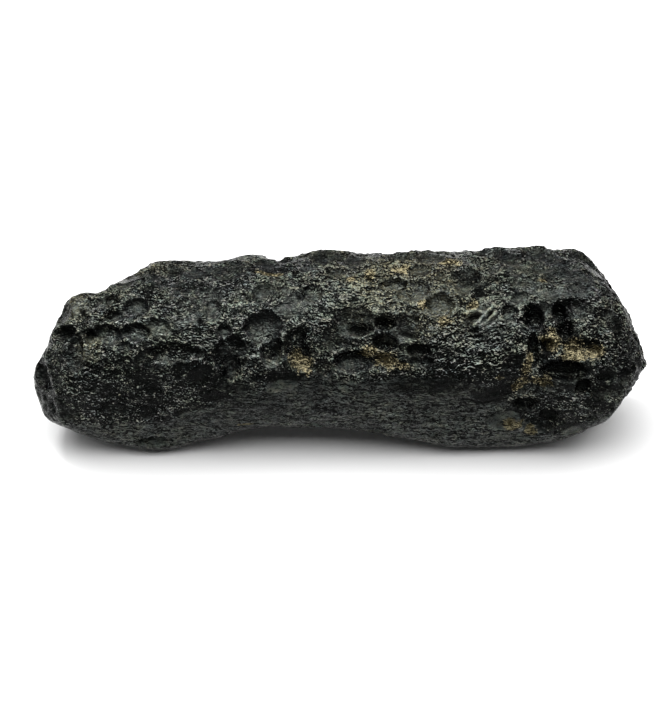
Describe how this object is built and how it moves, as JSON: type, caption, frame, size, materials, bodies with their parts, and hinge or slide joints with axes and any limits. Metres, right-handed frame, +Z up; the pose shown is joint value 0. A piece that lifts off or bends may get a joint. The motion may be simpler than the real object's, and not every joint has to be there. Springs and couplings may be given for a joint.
{
  "type": "indochinite tektite",
  "caption": "Bar-shaped piece of black natural glass with a pitted, etched skin, lying on its side. A display, set-dressing or teaching specimen.",
  "frame": {"origin": "on the ground, under the middle of the stone's bounding box", "axes": "+X along the bar, towards its blunter end; +Y towards its back; +Z up"},
  "size_m": [0.0901, 0.0285, 0.0289],
  "materials": {
    "black_glass": "satin"
  },
  "bodies": {
    "root": {"tektite": "black_glass"}
  },
  "joints": []
}
